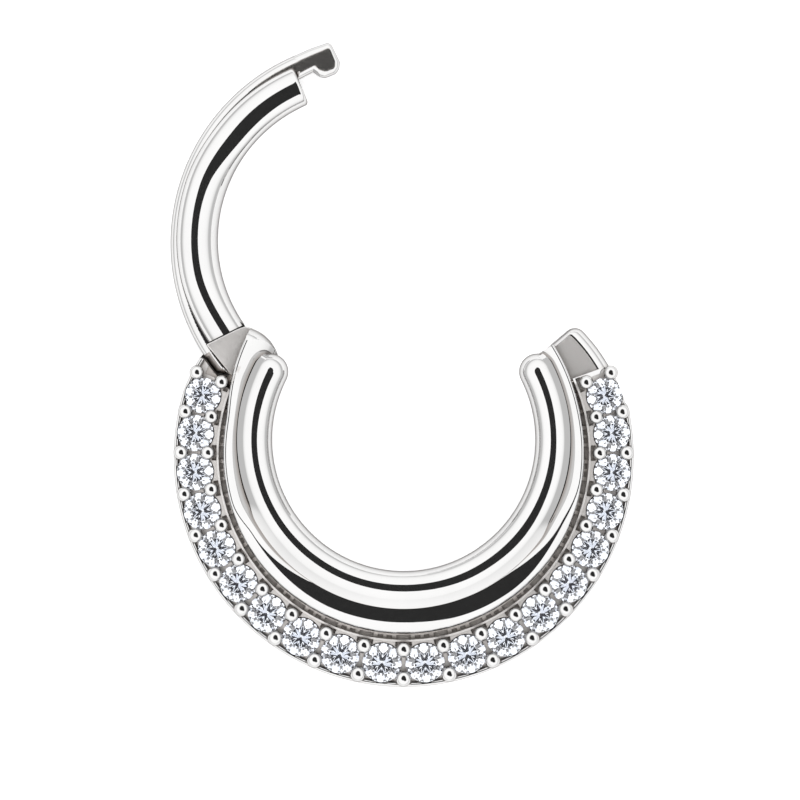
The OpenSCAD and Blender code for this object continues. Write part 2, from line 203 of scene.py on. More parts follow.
def inset(outline, d):
    """The outline moved inward by d; it runs anticlockwise."""
    n, out = len(outline), []
    for i in range(n):
        p, a, b = outline[i], outline[i - 1], outline[(i + 1) % n]
        u, v = (p - a).normalized(), (b - p).normalized()
        nu, nv = Vector((-u.y, u.x)), Vector((-v.y, v.x))
        m = nu + nv
        out.append(p + m * (d / max(0.35, m.dot(nu))))
    return out


def prism(name, outline, z0, z1, bevel=0.0, bevel_under=0.0, steps=4):
    """An upright prism, with its top and bottom edges rounded off."""
    levels = []
    for k in range(steps + 1 if bevel_under else 1):
        t = math.radians(90 * k / steps) if bevel_under else math.pi / 2
        levels.append((bevel_under * (1 - math.sin(t)), z0 + bevel_under * (1 - math.cos(t))))
    for k in range(steps + 1 if bevel else 1):
        t = math.radians(90 * k / steps) if bevel else 0
        levels.append((bevel * (1 - math.cos(t)), z1 - bevel * (1 - math.sin(t))))
    if not bevel:
        levels[-1] = (0, z1)
    if not bevel_under:
        levels[0] = (0, z0)
    return stack(name, outline, levels)


def stack(name, outline, levels):
    """Flat outlines above each other, each drawn in by its own depth.

    The outline is a list of points or a function of the depth.
    """
    def at(d):
        if callable(outline):
            return outline(d)
        return inset(outline, d) if d else outline
    return loft(name, [[(p.x, p.y, z) for p in at(d)] for d, z in levels])


def boolean(base, others, operation):
    for other in others:
        cut = base.modifiers.new("cut", "BOOLEAN")
        cut.operation, cut.solver, cut.object = operation, "MANIFOLD", other
    graph = bpy.context.evaluated_depsgraph_get()
    mesh = bpy.data.meshes.new_from_object(base.evaluated_get(graph))
    base.modifiers.clear()
    base.data = mesh
    for other in others:
        bpy.data.objects.remove(other)
    return base


def union(base, *others):
    return boolean(base, others, "UNION")


def minus(base, *others):
    return boolean(base, others, "DIFFERENCE")


def common(base, *others):
    return boolean(base, others, "INTERSECT")


def cylinder(name, c, r, z0, z1, steps=96):
    return prism(name, [Vector(c) + polar(r, 360 * i / steps) for i in range(steps)], z0, z1)


# Outlines

def ray_circle(a, c, r):
    """How far a ray from the hoop's centre runs to the far side of a circle."""
    u = polar(1, a)
    b = u.dot(c)
    return b + math.sqrt(b * b - c.dot(c) + r * r)


def outer_radius(a):
    """The crescent's outer edge, trimmed by a tighter arc near both ends."""
    a = a % 360
    r = ray_circle(a, Vector((0, -OUTER_DROP)), OUTER_R)
    if TRIM_FROM_A <= a <= TRIM_TO_A:
        r = min(r, ray_circle(a, END_TRIM_C, END_TRIM_R))
    if 180 - TRIM_TO_A <= a <= 180 - TRIM_FROM_A:
        r = min(r, ray_circle(a, Vector((-END_TRIM_C.x, END_TRIM_C.y)), LEFT_TRIM_R))
    return r


def band_between(a0, a1, inner_r, outer, step=1.0):
    """Outline between a round inner edge and outer(a), from angle a0 to a1."""
    n = max(2, int(abs(a1 - a0) / step))
    angles = [a0 + (a1 - a0) * i / n for i in range(n + 1)]
    return [polar(outer(a), a) for a in angles] + [polar(inner_r(a), a) for a in reversed(angles)]


def knuckle_outline(d=0.0):
    """Round at the right, flat where the open bar stops, drawn in where the bar's cut end swings past."""
    points = []
    edge_a = CHEEK_EDGE_A + 90
    for k in range(KNUCKLE_STEPS):
        ray = polar(1, 360 * k / KNUCKLE_STEPS)
        reach = KNUCKLE_R - d
        for p, away, normal in ((PIVOT, STOP, polar(1, STOP_A)), (CHEEK_EDGE_P, 0, polar(1, edge_a))):
            towards = ray.dot(normal)
            if towards > 0:
                reach = min(reach, (away - d - (KNUCKLE_C - p).dot(normal)) / towards)
        gap = KNUCKLE_C - PIVOT
        b = ray.dot(gap)
        swing = -b + math.sqrt(b * b - gap.dot(gap) + (STOP - d) ** 2)
        hit = gap + ray * swing
        if 0 < STOP_A - math.degrees(math.atan2(hit.y, hit.x)) < 90:
            reach = min(reach, swing)
        points.append(KNUCKLE_C + ray * reach)
    return points


# The ring's parts

def circle_section(c, r, steps=ROUND_STEPS):
    return [(p.x, p.y) for p in (Vector(c) + polar(r, 360 * i / steps) for i in range(steps))]


def base_tube():
    return sweep("base_tube", circle_section((TUBE_RING_R, TUBE_Z), TUBE_R), (0, 0),
                 LEFT_TUBE_A, 360 + RIGHT_END_A, RING_STEPS)


def slab():
    to_a = 360 + BLOCK_FROM_A + BLOCK_OVERLAP_A
    outline = band_between(LEFT_SLAB_A, to_a, lambda a: SLAB_INNER_R, outer_radius)
    return prism("slab", outline, 0, SLAB_TOP, 0, SLAB_ROUND)


def band_radius(a):
    """The outer rail's outer edge: round about a dropped centre, wider towards both ends."""
    a = a % 360
    r = ray_circle(a, Vector((0, -BAND_DROP)), BAND_R)
    wide = r
    if a < BAND_LEFT_A:
        wide = ray_circle(a, BAND_LEFT_C, BAND_LEFT_R) if a > 90 else BAND_RIGHT_R
    if a > BAND_RIGHT_A:
        wide = BAND_RIGHT_R
    if wide == r:
        return r
    soft = BAND_SOFT
    return soft * math.log(math.exp((r - 5) / soft) + math.exp((wide - 5) / soft)) + 5


def smooth(t):
    """0 to 1 with a soft start and end."""
    t = min(1, max(0, t))
    return t * t * (3 - 2 * t)


def from_bottom(a, starts, ends):
    """0 between the starts, 1 beyond the ends, each given for the left and the right."""
    a = a % 360
    if 90 < a < 270:
        return smooth((starts[0] - a) / (starts[0] - ends[0]))
    return smooth(((a if a >= 270 else a + 360) - starts[1]) / (ends[1] - starts[1]))


def band_section(a):
    """A convex curve given by its radius at each slope: a rolled outer edge, a crest and a long inner flank.

    The crest is broad along the bottom, sharp at the tips, and lies at the outer edge along both sides.
    """
    r = band_radius(a)
    tip, lean = from_bottom(a, BAND_FLAT_A, BAND_TIP_A), from_bottom(a, BAND_TIP_A, BAND_LEAN_A)
    crest_r, roll_r, inner_r = (low + (high - low) * tip
                                for low, high in (BAND_CREST_R, BAND_ROLL_R, BAND_IN_R))
    edge = r - BAND_CREST_EDGE
    crest = min(BAND_CREST_AT, edge) * (1 - lean) + edge * lean
    top = BAND_TOP[0] + (BAND_TOP[1] - BAND_TOP[0]) * tip
    if 90 < a < 180:
        inner_r += KNUCKLE_FLANK * smooth((KNUCKLE_FLANK_A - a) / KNUCKLE_FLANK_W)
    roll_r = min(roll_r, ROLL_LIMIT * (r - crest))
    slope_r = max(SLOPE_MIN_R, (r - crest - roll_r * ROLL_SPAN - crest_r * CREST_SPAN) / SLOPE_SPAN)
    crest_to = CREST_TO + CREST_MORE * tip
    parts = ((ROLL_TO, roll_r), (SLOPE_TO, slope_r), (crest_to, crest_r), (FLANK_TO, inner_r))
    points, x, z = [], 0.0, 0.0
    for k in range(0, FLANK_TO, BAND_STEP):
        rho = next(radius for slope, radius in parts if k < slope)
        points.append((x, z, k))
        mid, turn = math.radians(k + BAND_STEP / 2), math.radians(BAND_STEP)
        x -= rho * math.sin(mid) * turn
        z += rho * math.cos(mid) * turn
    peak = next((x, z) for x, z, k in points if k == 90)
    points = [(crest + x - peak[0], top + z - peak[1]) for x, z, k in points]
    return [(points[-1][0], FOOT_Z), (points[0][0], FOOT_Z)] + points


def rolled_knuckle():
    """The knuckle's outline as a room for the outer rail, whose upper edge is rolled off."""
    levels = [(0, LOW - 1), (0, KNUCKLE_ROLL_Z)]
    for k in range(1, KNUCKLE_ROLL_STEPS):
        t = math.radians(90 * k / KNUCKLE_ROLL_STEPS)
        levels.append((KNUCKLE_ROLL[0] * (1 - math.cos(t)), KNUCKLE_ROLL_Z + KNUCKLE_ROLL[1] * math.sin(t)))
    return stack("knuckle_plan", knuckle_outline, levels + [(KNUCKLE_ROLL[0], HIGH)])


def ramp():
    """The solder between both rails: it starts on the inner rail's side, and is broad along the bottom."""
    loops = []
    for i in range(RING_STEPS + 1):
        a = RAMP_A[0] + (RAMP_A[1] - RAMP_A[0]) * i / RING_STEPS
        side = from_bottom(a, *RAMP_TURN_A)
        elevation, width, z_end = (low + (high - low) * side
                                   for low, high in (RAMP_FROM, RAMP_WIDTH, RAMP_END_Z))
        past = RAIL_RING_R * math.radians(max(0, 180 - RAIL_END_A - a, a - 360 - RAIL_END_A))
        rail_r = math.sqrt(RAIL_R ** 2 - past ** 2)
        t = math.radians(elevation)
        foot = (RAIL_RING_R + rail_r * math.cos(t), RAIL_Z + rail_r * math.sin(t))
        edge = (foot[0] + width, z_end - (RAIL_R - rail_r) * math.sin(t))
        section = [RAMP_ROOT, (edge[0], RAMP_ROOT[1]), edge, (foot[0] - RAMP_SINK, foot[1] - RAMP_SINK),
                   (RAMP_ROOT[0], max(RAMP_ROOT[1] + RAMP_MIN_H, foot[1] - RAMP_MIN_H))]
        t = math.radians(a)
        loops.append([(x * math.cos(t), x * math.sin(t), y) for x, y in section])
    return loft("ramp", loops)


def outer_rail():
    """The wide rail, cut off at both ends and kept within the knuckle's rolled edge, with the solder."""
    loops = []
    for a in range(BAND_LOOPS_A[0], BAND_LOOPS_A[1] + 1):
        t = math.radians(a)
        loops.append([(r * math.cos(t), r * math.sin(t), z) for r, z in band_section(a)])
    plan = band_between(KNUCKLE_TO_A, 360 + RIGHT_END_A, lambda a: 0.5, lambda a: FAR)
    plan = union(prism("plan", plan, LOW, HIGH), rolled_knuckle())
    rail = common(loft("outer_rail", loops), plan)
    minus(rail, cylinder("clear", (0, 0), BAND_CLEAR_R, LOW - 2, HIGH + 2, RING_STEPS))
    return union(rail, ramp())


def inner_rail():
    """A round section swept from end to end; each end closes in a dome."""
    sections = []
    a0, a1 = 180 - RAIL_END_A, 360 + RAIL_END_A

    def loop(a, along, r):
        c = polar(RAIL_RING_R, a) + polar(along, a + 90)
        u = polar(1, a)
        return [(c.x + u.x * r * math.cos(t), c.y + u.y * r * math.cos(t), RAIL_Z + r * math.sin(t))
                for t in (2 * math.pi * i / ROUND_STEPS for i in range(ROUND_STEPS))]

    for k in range(DOME_STEPS):
        t = math.radians(90 * (DOME_STEPS - k) / DOME_STEPS)
        sections.append(loop(a0, -RAIL_R * math.sin(t), max(POINT_R, RAIL_R * math.cos(t))))
    for i in range(RING_STEPS + 1):
        sections.append(loop(a0 + (a1 - a0) * i / RING_STEPS, 0, RAIL_R))
    for k in range(1, DOME_STEPS + 1):
        t = math.radians(90 * k / DOME_STEPS)
        sections.append(loop(a1, RAIL_R * math.sin(t), max(POINT_R, RAIL_R * math.cos(t))))
    return loft("inner_rail", sections)


def row_height(r):
    """The stones' plane at radius r from the row's centre."""
    return ROW_Z - (r - ROW_R) * math.tan(math.radians(PLATE_TILT))


def stone_plate():
    """The deck beside the outer rail, the conical plate under the stones and a low ridge on each side."""
    out_r, ridge_r = OUTER_R + PLATE_BEYOND, PLATE_IN_R + RIDGE_W
    section = [(PLATE_ROOT_R, FOOT_Z), (out_r, FOOT_Z), (out_r, row_height(out_r) - PLATE_UNDER),
               (ridge_r, row_height(ridge_r) - PLATE_UNDER), (ridge_r, row_height(ridge_r) - RIDGE_UNDER),
               (PLATE_IN_R, row_height(PLATE_IN_R) - RIDGE_UNDER), (PLATE_IN_R, DECK_Z),
               (PLATE_ROOT_R, DECK_Z + DECK_RISE)]
    plate = turned("stone_plate", section, (0, -ROW_DROP))
    a0, a1 = LEFT_PLATE_A, 360 + BLOCK_FROM_A + BLOCK_OVERLAP_A
    plan = prism("plan", band_between(a0, a1, lambda a: PLAN_R, outer_radius, PLATE_STEP), LOW, HIGH)
    strip = band_between(a0, a1, lambda a: outer_radius(a) - OUTER_RIDGE_W, outer_radius, PLATE_STEP)
    ridge = prism("outer_ridge", strip, FOOT_Z, OUTER_RIDGE_TOP, OUTER_RIDGE_ROUND)
    bar_room_r, bar_room_z = BAR_EDGE_R + SLOT_GAP, PLATE_Z0 - SLOT_GAP
    return minus(union(common(plate, plan), ridge),
                 cylinder("bar_room", BAR_EDGE_C, bar_room_r, bar_room_z, HIGH + 1, RING_STEPS))


def graded(mid, end, t):
    """From mid at the row's middle, where t is 0, to end at both its ends, where t is -1 or 1."""
    return mid - (mid - end) * abs(t) ** GRADING


def stone_d(i):
    """Diameter of stone i."""
    return graded(STONE_MID_D, STONE_END_D, (2 * i - STONE_N + 1) / (STONE_N - 1))


def pitch_a(i):
    """Angle from stone i to the next one."""
    gap = graded(STONE_MID_GAP, STONE_END_GAP, (2 * i - STONE_N + 2) / (STONE_N - 2))
    return math.degrees(((stone_d(i) + stone_d(i + 1)) / 2 + gap) / ROW_R)


def stone_angles():
    """Where the stones sit: the right half is added up stone by stone and mirrored."""
    half = [ROW_AXIS_A + pitch_a(STONE_N // 2 - 1) / 2]
    for i in range(STONE_N // 2, STONE_N - 1):
        half.append(half[-1] + pitch_a(i))
    return [2 * ROW_AXIS_A - a for a in reversed(half)] + half


STONE_A = stone_angles()
PRONG_A = ([STONE_A[0] - pitch_a(0) / 2] + [(a + b) / 2 for a, b in zip(STONE_A, STONE_A[1:])]
           + [STONE_A[-1] + pitch_a(STONE_N - 2) / 2])
PRONG_D = [(stone_d(min(j, STONE_N - 1)) + stone_d(max(j - 1, 0))) / 2 for j in range(STONE_N + 1)]


def row_frame(a, off=0.0, tilt=STONE_TILT):
    """A frame on the row whose Z is the stone's axis and whose X points outward."""
    return (Matrix.Translation((0, -ROW_DROP, 0)) @ Matrix.Rotation(math.radians(a), 4, "Z")
            @ Matrix.Translation((ROW_R, 0, ROW_Z)) @ Matrix.Rotation(math.radians(tilt), 4, "Y")
            @ Matrix.Translation((off, 0, 0)))


def add_turned(bm, profile, matrix, steps=ROUND_STEPS):
    """A closed solid of revolution about the matrix's Z axis; the profile begins and ends on the axis."""
    top = bm.verts.new(matrix @ Vector((0, 0, profile[0][1])))
    end = bm.verts.new(matrix @ Vector((0, 0, profile[-1][1])))
    loops = [[bm.verts.new(matrix @ Vector((r * math.cos(2 * math.pi * k / steps),
                                            r * math.sin(2 * math.pi * k / steps), z))) for k in range(steps)]
             for r, z in profile[1:-1]]
    for k in range(steps):
        j = (k + 1) % steps
        bm.faces.new((top, loops[0][k], loops[0][j]))
        bm.faces.new((end, loops[-1][j], loops[-1][k]))
        for a, b in zip(loops, loops[1:]):
            bm.faces.new((a[k], b[k], b[j], a[j]))


def prongs():
    """Each prong is a pillar that ends in a bead with a flattened top."""
    bm = bmesh.new()
    for a, d in zip(PRONG_A, PRONG_D):
        bead, pillar = BEAD_R * d, PILLAR_R * d
        ball = []
        for k in range(BEAD_STEPS + 1):
            t = math.radians(90 * k / BEAD_STEPS)
            ball.append((bead * math.sin(t) ** (2 / BEAD_POWER),
                         BEAD_OVER + BEAD_RISE * bead * math.cos(t) ** (2 / BEAD_POWER)))
        under = [(bead * math.cos(math.radians(t)), BEAD_OVER - bead * math.sin(math.radians(t)))
                 for t in BEAD_UNDER_A]
        profile = ball + under + [(pillar, PILLAR_FOOT), (0, PILLAR_FOOT)]
        for side in (-1, 1):
            add_turned(bm, profile, row_frame(a, side * PRONG_OFF * d), 32)
    return new_object("prongs", bm)


def pockets():
    """Small cuts inside the row, from above.

    There is one on each side of the ridge at each bead, there are two in the deck between beads, and one
    lies at the left end.
    """
    bm = bmesh.new()
    ridge_r = PLATE_IN_R + RIDGE_W

    def cut(a, r0, r1, half, z0):
        m = Matrix.Translation((0, -ROW_DROP, 0)) @ Matrix.Rotation(math.radians(a), 4, "Z")
        corners = [(r0, -half), (r1, -half), (r1, half), (r0, half)]
        add_loft(bm, [[m @ Vector((x, y, z)) for x, y in corners] for z in (z0, HIGH - 1)])

    for a, d in zip(PRONG_A, PRONG_D):
        cut(a, ridge_r, ridge_r + POCKET_L, POCKET_W * d / 2, DECK_Z)
        half = POCKET_W * d / 2 - POCKET_NARROW
        cut(a, PLATE_IN_R - POCKET_L, PLATE_IN_R, half, DECK_Z - POCKET_DEPTH)
    r0, r1 = (PLATE_IN_R - inward for inward in SMALL_CUT_L)
    for a, b in zip(PRONG_A, PRONG_A[1:]):
        for share in SMALL_CUT_AT:
            cut(a + (b - a) * share, r0, r1, SMALL_CUT_HALF, DECK_Z - POCKET_DEPTH)
    cut(*END_POCKET, DECK_Z)
    return new_object("pockets", bm)


def stone_rooms():
    """What is cut out around and behind each stone."""
    bm = bmesh.new()
    for i, a in enumerate(STONE_A):
        d, g = stone_d(i), SEAT_GAP
        top = CROWN * d + g + ROOM_OVER
        funnel = -SEAT_STEP - (1 - OPEN_BACK) * (PAVILION * d + g)
        profile = [(0, top), (TABLE * d / 2 + g, CROWN * d + g), (d / 2 + g, GIRDLE * d / 2),
                   (d / 2 + g, -SEAT_STEP), (OPEN_BACK * d / 2, funnel),
                   (OPEN_BACK * d / 2, LOW - 2), (0, LOW - 2)]
        add_turned(bm, profile, row_frame(a), 64)
    return new_object("stone_rooms", bm)


def knuckle():
    """The knuckle's base with its lower flat cheek, which ends at the outer rail."""
    front = prism("cheek", knuckle_outline, SLAB_TOP, CHEEK_TOP, CHEEK_ROUND)
    minus(front, cylinder("band_room", BAND_LEFT_C, BAND_LEFT_R - BAND_BITE, 0, HIGH, RING_STEPS))
    return union(prism("knuckle", knuckle_outline, 0, CHEEK_BASE_TOP, CHEEK_ROUND, SLAB_ROUND), front)


def block_outline(at_rim=0.0, at_end=0.0, at_row=0.0, corner=BLOCK_CORNER):
    """Outline of the free end with its rounded outer corner.

    It is drawn in by at_rim, at_end and at_row at its rim, its end and towards the row.
    """
    c, u, n = END_TRIM_C, polar(1, BLOCK_END_A), polar(1, BLOCK_END_A + 90)
    base = BLOCK_END_P - (corner + at_end) * n
    b = u.dot(base - c)
    q = (base - c).dot(base - c)
    t = -b + math.sqrt(b * b - q + (END_TRIM_R - at_rim - corner) ** 2)
    centre = base + u * t
    out_dir = (centre - c).normalized()
    rim_side_a = math.degrees(math.atan2(out_dir.y, out_dir.x))
    tip = arc(centre, corner, rim_side_a, BLOCK_END_A + 90, BLOCK_STEPS)
    tip_a = math.degrees(math.atan2(tip[0].y, tip[0].x))
    a0 = BLOCK_FROM_A + math.degrees(at_row / OUTER_R)
    angles = [a0 + (tip_a - a0) * i / BLOCK_STEPS for i in range(BLOCK_STEPS)]
    root = BLOCK_END_P - at_end * n - BLOCK_ROOT * u
    root_a = math.degrees(math.atan2(root.y, root.x))
    inner = [polar(root.length, root_a + (a0 - root_a) * i / BLOCK_STEPS) for i in range(BLOCK_STEPS + 1)]
    return [polar(outer_radius(a) - at_rim, a) for a in angles] + tip + inner


def latch_block():
    """A flat panel whose edges roll off: widely at the rim, narrowly at the end and towards the row."""
    base = block_outline()
    top = block_outline(*PANEL_DROPS, PANEL_CORNER)
    levels = [(0, 0)]
    for k in range(PANEL_STEPS + 1):
        t = math.radians(90 * k / PANEL_STEPS)
        levels.append((1 - math.cos(t), PANEL_TOP - PANEL_ROLL * (1 - math.sin(t))))
    return loft("latch_block", [[(*b.lerp(t, w), z) for b, t in zip(base, top)] for w, z in levels])


def slot_prism(name, outline):
    """A room as high as the bar's plate with its gaps."""
    return prism(name, outline, PLATE_Z0 - SLOT_GAP, PLATE_Z1 + SLOT_GAP)


def hinge_slot():
    """Where the lug swings: a fan about the pivot, out to the bar's outer edge."""
    fan = [PIVOT.copy()]
    fan += [PIVOT + polar(HINGE_FAN_R, HINGE_FAN_A + HINGE_FAN_TURN * i / 24) for i in range(25)]
    edge = cylinder("edge", BAR_EDGE_C, BAR_EDGE_R + SLOT_GAP, LOW, HIGH, RING_STEPS)
    sector = common(slot_prism("hinge_slot", fan), edge)
    return union(sector, cylinder("eye", PIVOT, LUG_R + SLOT_GAP, PLATE_Z0 - SLOT_GAP, PLATE_Z1 + SLOT_GAP))


def latch_slot():
    """Where the hook swings in: an arc about the pivot."""
    angles = [LATCH_FLOOR_A + (LATCH_TO_A - LATCH_FLOOR_A) * i / 48 for i in range(49)]
    outline = [PIVOT + polar(LATCH_OUT_R, a) for a in angles] + \
              [PIVOT + polar(LATCH_IN_R, a) for a in reversed(angles)]
    return slot_prism("latch_slot", outline)


def make_ring():
    body = base_tube()
    plate = minus(stone_plate(), pockets())
    union(body, slab(), outer_rail(), inner_rail(), plate, knuckle(), latch_block(), prongs())
    bore = cylinder("bore", PIVOT, PIN_R + PIN_GAP, LOW, PIN_TOP + 2 * PIN_GAP)
    return minus(body, stone_rooms(), hinge_slot(), latch_slot(), bore)


# The bar's parts

def between(table, a):
    """The value at a of a table of (angle, value) rows, with smooth changes between them."""
    for (a0, v0), (a1, v1) in zip(table, table[1:]):
        if a0 <= a <= a1:
            return v0 + (v1 - v0) * smooth((a - a0) / (a1 - a0))
    return table[0][1] if a < table[0][0] else table[-1][1]


def bar_tube():
    """The round bar: its crest wanders a little, its free end is rounded, its hinge end is cut flat."""
    sections, rounding = [], BAR_ROUND

    def loop(a, along, r):
        c = BAR_C + polar(BAR_RING_R, a) + polar(along, a + 90)
        u, lean, power = polar(1, a), between(BAR_LEAN, a), 2 / between(BAR_POWER, a)
        points = []
        for i in range(64):
            t = 2 * math.pi * i / 64
            x, z = abs(math.cos(t)) ** power, abs(math.sin(t)) ** power
            x = math.copysign(x, math.cos(t)) + lean * max(0, math.sin(t))
            points.append((c.x + u.x * r * x, c.y + u.y * r * x, TUBE_Z + math.copysign(r * z, math.sin(t))))
        return points

    for k in range(5):
        t = math.radians(90 * (1 - k / 5))
        inward = rounding * (1 - math.cos(t))
        sections.append(loop(BAR_FREE_A, -rounding * math.sin(t) + rounding, BAR_R - inward))
    start = BAR_FREE_A + math.degrees(rounding / BAR_RING_R)
    for i in range(BAR_STEPS + 1):
        sections.append(loop(start + (BAR_HINGE_A - start) * i / BAR_STEPS, 0, BAR_R))
    p, along, back = PIVOT + polar(BAR_CUT, STOP_A), polar(FAR, STOP_A + 90), polar(FAR, STOP_A)
    cut = prism("cut", [p + along, p + along - back, p - along - back, p - along], LOW - 1, HIGH)
    return minus(loft("bar_tube", sections), cut)


def bar_edge():
    """The outer strip of the bar's plate, with a full round outer side."""
    c, h, z, r = BAR_EDGE_ROUND, PLATE_T / 2, PLATE_Z0 + PLATE_T / 2, BAR_EDGE_R
    turn = [math.radians(90 * k / 8) for k in range(9)]
    section = [(r - BAR_EDGE_W, z - h)]
    section += [(r - c + c * math.sin(t), z - h + c - c * math.cos(t)) for t in turn]
    section += [(r - c + c * math.cos(t), z + h - c + c * math.sin(t)) for t in turn]
    section += [(r - BAR_EDGE_W, z + h)]
    return sweep("bar_edge", section, BAR_EDGE_C, BAR_EDGE_FROM_A, BAR_EDGE_TO_A, EDGE_STEPS)


def rolled(name, base, top, z0, z1, roll):
    """A flat piece whose front face is the outline top and whose edge rolls down to the outline base."""
    levels = [(0, z0), (0, z1 - roll)]
    for k in range(1, 7):
        t = math.radians(15 * k)
        levels.append((1 - math.cos(t), z1 - roll * (1 - math.sin(t))))
    return loft(name, [[(*b.lerp(t, w), z) for b, t in zip(base, top)] for w, z in levels])


# Hook: corners of its outline, and where each lies on the smaller flat front face
HOOK = [  # outline x, y, face x, y
    (-2.90, 9.815, -2.812, 10.060), (-2.847, 9.842, -2.78, 10.075), (-2.482, 10.035, -2.433, 10.256),
    (-2.30, 9.905, -2.338, 10.147), (-2.155, 9.866, -2.155, 10.084), (-1.86, 9.985, -1.965, 10.16),
    (-1.76, 10.12, -1.905, 10.22), (-1.741, 10.302, -1.886, 10.316), (-1.954, 10.747, -1.984, 10.583),
    (-2.02, 10.81, -2.02, 10.63), (-2.093, 10.828, -2.10, 10.62), (-2.55, 10.67, -2.56, 10.41),
    (-3.0, 10.47, -2.896, 10.256), (-3.05, 10.25, -2.88, 10.20)]


def hook():
    """The flat hook at the bar's free end, with a rolled edge round its face."""
    base, top = [], []
    for i, row in enumerate(HOOK):
        after = HOOK[(i + 1) % len(HOOK)]
        for k in range(4):
            base.append(Vector(row[:2]).lerp(Vector(after[:2]), k / 4))
            top.append(Vector(row[2:]).lerp(Vector(after[2:]), k / 4))
    return rolled("hook", base, top, PLATE_Z0, PLATE_Z1, HOOK_ROUND)


def lug():
    """The eye round the pin and the flat arm that joins it to the bar's outer strip."""
    eye = cylinder("lug", PIVOT, LUG_R, PLATE_Z0, PLATE_Z1)
    outer = arc(BAR_EDGE_C, BAR_EDGE_R, LUG_FROM_A, BAR_EDGE_TO_A, 24)
    neck_r, neck_a, neck_x = LUG_NECK
    side_a, *side = LUG_SIDE
    inner = [PIVOT + polar(neck_r, neck_a) + Vector((neck_x, 0)), PIVOT, PIVOT + polar(LUG_R, side_a)]
    inner += [Vector(p) for p in side]
    face = arc(BAR_EDGE_C, BAR_EDGE_R - BAR_EDGE_ROUND, LUG_FROM_A, BAR_EDGE_TO_A, 24)
    arm = rolled("arm", outer + inner, face + inner, PLATE_Z0, PLATE_Z1, BAR_EDGE_ROUND)
    return union(eye, arm)


def make_bar():
    bar = bar_tube()
    union(bar, bar_edge(), hook(), lug())
    return minus(bar, cylinder("lug_bore", PIVOT, PIN_R + LUG_GAP, LOW, HIGH - 1))


# Materials

def new_material(name):
    m = bpy.data.materials.new(name)
    m.use_nodes = True
    return m, m.node_tree, m.node_tree.nodes["Principled BSDF"]


def noise(tree, size, detail):
    """Noise whose lumps are size millimetres across, in the piece's own space."""
    place = tree.nodes.new("ShaderNodeTexCoord")
    lumps = tree.nodes.new("ShaderNodeTexNoise")
    lumps.inputs["Scale"].default_value = 1 / (size * MM)
    lumps.inputs["Detail"].default_value = detail
    tree.links.new(place.outputs["Object"], lumps.inputs["Vector"])
    return lumps.outputs["Fac"]


def spread(tree, value, low, high):
    """The noise value, which keeps to its middle, spread from low to high."""
    out = tree.nodes.new("ShaderNodeMapRange")
    out.inputs["From Min"].default_value, out.inputs["From Max"].default_value = 0.3, 0.7
    out.inputs["To Min"].default_value, out.inputs["To Max"].default_value = low, high
    tree.links.new(value, out.inputs["Value"])
    return out.outputs["Result"]


def mixed(tree, share, a, b):
    """A colour between a and b; each is three numbers or another node's output."""
    out = tree.nodes.new("ShaderNodeMix")
    out.data_type = "RGBA"
    tree.links.new(share, out.inputs["Factor"])
    for socket, value in ((out.inputs[6], a), (out.inputs[7], b)):
        if isinstance(value, tuple):
            socket.default_value = (*value, 1)
        else:
            tree.links.new(value, socket)
    return out.outputs[2]


def metal(name, colour, painted_shade, roughness, grain, depth):
    """Metal with faint clouds of tone, painted shade in its corners, a dark tint at grazing angles that
    paints shade along its rims, and fine polishing marks.

    The marks are grain millimetres across and depth millimetres deep; painted_shade is the colour painted as
    shade into its corners.
    """
    m, tree, shader = new_material(name)
    shader.inputs["Metallic"].default_value = 1.0
    # Painted shade along the rims: the dark tint darkens the metal's reflection at grazing angles
    shader.inputs["Specular Tint"].default_value = (*PAINTED_RIM_SHADE, 1)
    clouds = spread(tree, noise(tree, CLOUD_SIZE, 3), 0, 1)
    tone = mixed(tree, clouds, colour, tuple(CLOUD_TONE * v for v in colour))
    # Painted shade: ambient occlusion mixes the painted_shade colour into corners and hollows, where shade
    # falls
    corners = tree.nodes.new("ShaderNodeAmbientOcclusion")
    corners.samples = 6
    corners.inputs["Distance"].default_value = PAINTED_SHADE_SIZE * MM
    tree.links.new(mixed(tree, corners.outputs["AO"], painted_shade, tone), shader.inputs["Base Color"])
    marks = noise(tree, grain, 4)
    tree.links.new(spread(tree, marks, 0.7 * roughness, 1.3 * roughness), shader.inputs["Roughness"])
    bump = tree.nodes.new("ShaderNodeBump")
    bump.inputs["Strength"].default_value = 1.0
    bump.inputs["Distance"].default_value = depth * MM
    tree.links.new(marks, bump.inputs["Height"])
    tree.links.new(bump.outputs["Normal"], shader.inputs["Normal"])
    return m


def clear_stone():
    """Clear crystal with the faintest blue clouds, as bright as a cut stone is."""
    m, tree, shader = new_material("clear_stone")
    clouds = spread(tree, noise(tree, STONE_CLOUD_SIZE, 2), 0, 1)
    tree.links.new(mixed(tree, clouds, *STONE_TONES), shader.inputs["Base Color"])
    shader.inputs["Roughness"].default_value = 0.0
    shader.inputs["IOR"].default_value = STONE_IOR
    shader.inputs["Transmission Weight"].default_value = 1.0
    return m


# The metal's dark tint at grazing angles, which paints shade along its rims, the size of its clouds, the
# reach of its painted shade in corners, and the stones' two tones
PAINTED_RIM_SHADE = (0.24, 0.23, 0.225)
CLOUD_SIZE, CLOUD_TONE, PAINTED_SHADE_SIZE = 1.5, 0.95, 0.12
STONE_TONES, STONE_CLOUD_SIZE, STONE_IOR = ((0.93, 0.955, 1.0), (0.86, 0.90, 0.98)), 0.6, 2.3
SHARP_FROM_A = 28
# The second colour of each metal is painted shade, mixed into its corners by ambient occlusion
polished = metal("polished_metal", (0.615, 0.612, 0.609), (0.42, 0.39, 0.37), 0.035, 0.25, 0.0003)
satin = metal("satin_metal", (0.64, 0.62, 0.605), (0.30, 0.27, 0.25), 0.42, 0.03, 0.002)
